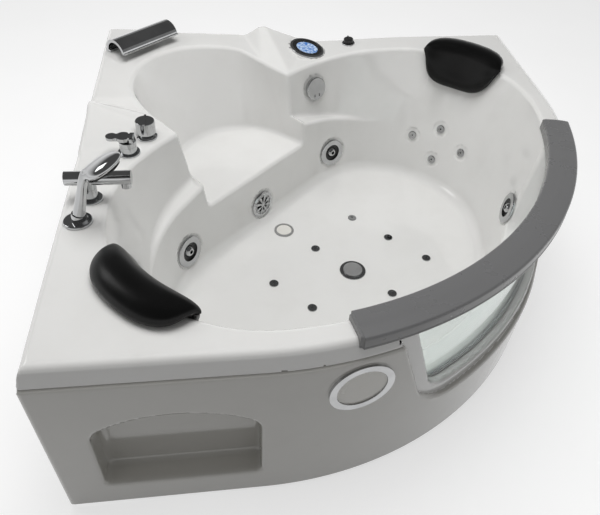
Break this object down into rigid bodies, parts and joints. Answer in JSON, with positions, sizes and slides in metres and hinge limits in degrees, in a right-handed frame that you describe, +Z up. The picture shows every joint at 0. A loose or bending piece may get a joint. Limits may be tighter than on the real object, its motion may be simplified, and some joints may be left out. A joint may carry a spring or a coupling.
{
  "type": "jetted bathtub",
  "caption": "Corner jetted bath for two with seat, front window, curved apron, towel niches, headrest pillows, deck taps, jets, pump, blower and frame.",
  "frame": {"origin": "floor, under the middle of the tub's square plan", "axes": "+Z up; the two walls are at -X and +Y, and the curved front with its window faces +X and -Y"},
  "size_m": [1.35, 1.35, 0.6542],
  "materials": {
    "acrylic": "polished",
    "apron_white": "polished",
    "chrome": "polished",
    "lamp_lens": "frosted",
    "window_glass": "clear",
    "light_lens": "clear",
    "seal_rubber": "matte",
    "cap_grey": "satin",
    "pillow_grey": "soft grain",
    "black_plastic": "satin",
    "display": "lit screen",
    "white_plastic": "satin",
    "brass": "cast",
    "copper": "drawn tube",
    "steel": "zinc paint",
    "foot_rubber": "zinc",
    "board": "plywood",
    "motor_grey": "painted casting",
    "rotor": "turned",
    "fan": "moulded"
  },
  "bodies": {
    "tub": {"tub_shell": "acrylic", "apron": "apron_white", "towel_niches": "apron_white", "apron_lamp_rings": "chrome", "apron_lamp_lenses": "lamp_lens", "window_glass": "window_glass", "window_seal": "seal_rubber", "rim_cap": "cap_grey", "pillow_left": "pillow_grey", "pillow_right": "pillow_grey", "waterfall_spout": "chrome", "hand_shower_socket": "chrome", "spout_column": "chrome", "mixer_base": "chrome", "diverter_base": "chrome", "valve_block": "brass", "tap_pipes": "copper", "panel_bezel": "chrome", "panel_housing": "black_plastic", "panel_display": "display", "air_knob_base": "chrome", "overflow_body": "black_plastic", "drain_body": "chrome", "trap": "black_plastic", "jet_housings": "white_plastic", "jet_flanges": "chrome", "jet_sockets": "black_plastic", "back_jets": "chrome", "floor_air_jets": "chrome", "suction_housing": "white_plastic", "suction_grille": "chrome", "underwater_light": "chrome", "light_lens": "light_lens", "steel_frame": "steel", "support_boards": "board", "pump_motor": "motor_grey", "pump_wet_end": "black_plastic", "blower_housing": "motor_grey", "control_box": "white_plastic", "jet_pipes": "white_plastic"},
    "hand_shower": {"hand_shower": "chrome", "spray_plate": "black_plastic"},
    "filler_spout": {"filler_spout": "chrome"},
    "mixer_collar": {"mixer_collar": "chrome"},
    "mixer_lever": {"mixer_lever": "chrome"},
    "diverter_knob": {"diverter_knob": "chrome"},
    "air_knob": {"air_knob": "black_plastic"},
    "overflow_knob": {"overflow_knob": "chrome"},
    "drain_plug": {"drain_plug": "chrome"},
    "jet_nozzle_1": {"jet_nozzle_1": "chrome"},
    "jet_nozzle_2": {"jet_nozzle_2": "chrome"},
    "jet_nozzle_3": {"jet_nozzle_3": "chrome"},
    "jet_nozzle_4": {"jet_nozzle_4": "chrome"},
    "pump_rotor": {"pump_rotor": "rotor"},
    "blower_fan": {"blower_fan": "fan"},
    "foot_1": {"foot_1": "foot_rubber"},
    "foot_2": {"foot_2": "foot_rubber"},
    "foot_3": {"foot_3": "foot_rubber"},
    "foot_4": {"foot_4": "foot_rubber"},
    "foot_5": {"foot_5": "foot_rubber"}
  },
  "joints": [
    {"name": "hand_shower_lift", "type": "slide", "parent": "tub", "child": "hand_shower", "axis": [0.2639, 0.0741, 0.9617], "range_m": [0, 0.06]},
    {"name": "spout_swivel", "type": "hinge", "parent": "tub", "child": "filler_spout", "pos_m": [-0.609, -0.183, 0.47611], "axis": [0, 0.0769, 0.997], "range_deg": [-40, 40]},
    {"name": "mixer_turn", "type": "hinge", "parent": "tub", "child": "mixer_collar", "pos_m": [-0.545, 0.017, 0.46183], "axis": [0, 0.0099, 1], "range_deg": [-45, 45]},
    {"name": "mixer_tilt", "type": "hinge", "parent": "mixer_collar", "child": "mixer_lever", "pos_m": [-0.533, 0.01744, 0.50583], "axis": [0, 1, -0.0099], "range_deg": [0, 20]},
    {"name": "diverter_turn", "type": "hinge", "parent": "tub", "child": "diverter_knob", "pos_m": [-0.507, 0.091, 0.4611], "axis": [0, 0.0099, 1], "range_deg": [-90, 90]},
    {"name": "air_turn", "type": "hinge", "parent": "tub", "child": "air_knob", "pos_m": [0.118, 0.628, 0.4711], "axis": [-0.0769, 0, 0.997], "range_deg": [-135, 135]},
    {"name": "overflow_turn", "type": "hinge", "parent": "tub", "child": "overflow_knob", "pos_m": [-0.01094, 0.48521, 0.38431], "axis": [0.5057, -0.8398, 0.1974], "range_deg": [0, 90]},
    {"name": "plug_lift", "type": "slide", "parent": "tub", "child": "drain_plug", "axis": [0, 0, 1], "range_m": [0, 0.008]},
    {"name": "jet_1_aim", "type": "hinge", "parent": "tub", "child": "jet_nozzle_1", "pos_m": [-0.42435, -0.02191, 0.14941], "axis": [0.6081, 0.7939, 0], "range_deg": [-12, 12]},
    {"name": "jet_2_aim", "type": "hinge", "parent": "tub", "child": "jet_nozzle_2", "pos_m": [0.05699, 0.44852, 0.15728], "axis": [0.8754, 0.4833, 0], "range_deg": [-12, 12]},
    {"name": "jet_3_aim", "type": "hinge", "parent": "tub", "child": "jet_nozzle_3", "pos_m": [0.5255, -0.00958, 0.26108], "axis": [-0.2604, -0.9655, 0], "range_deg": [-12, 12]},
    {"name": "jet_4_aim", "type": "hinge", "parent": "tub", "child": "jet_nozzle_4", "pos_m": [0.00958, -0.5255, 0.26108], "axis": [-0.9655, -0.2604, 0], "range_deg": [-12, 12]},
    {"name": "pump_spin", "type": "hinge", "parent": "tub", "child": "pump_rotor", "pos_m": [-0.338, 0.338, 0.134], "axis": [0.7071, -0.7071, 0], "continuous": true},
    {"name": "blower_spin", "type": "hinge", "parent": "tub", "child": "blower_fan", "pos_m": [-0.3182, 0.54447, 0.1], "axis": [0, 0, 1], "continuous": true},
    {"name": "foot_1_level", "type": "slide", "parent": "tub", "child": "foot_1", "axis": [0, 0, -1], "range_m": [0, 0.012]},
    {"name": "foot_2_level", "type": "slide", "parent": "tub", "child": "foot_2", "axis": [0, 0, -1], "range_m": [0, 0.012]},
    {"name": "foot_3_level", "type": "slide", "parent": "tub", "child": "foot_3", "axis": [0, 0, -1], "range_m": [0, 0.012]},
    {"name": "foot_4_level", "type": "slide", "parent": "tub", "child": "foot_4", "axis": [0, 0, -1], "range_m": [0, 0.012]},
    {"name": "foot_5_level", "type": "slide", "parent": "tub", "child": "foot_5", "axis": [0, 0, -1], "range_m": [0, 0.012]}
  ],
  "couplings": [
    {"joint": "plug_lift", "follows": "overflow_turn", "m_per_rad": 0.005093}
  ]
}
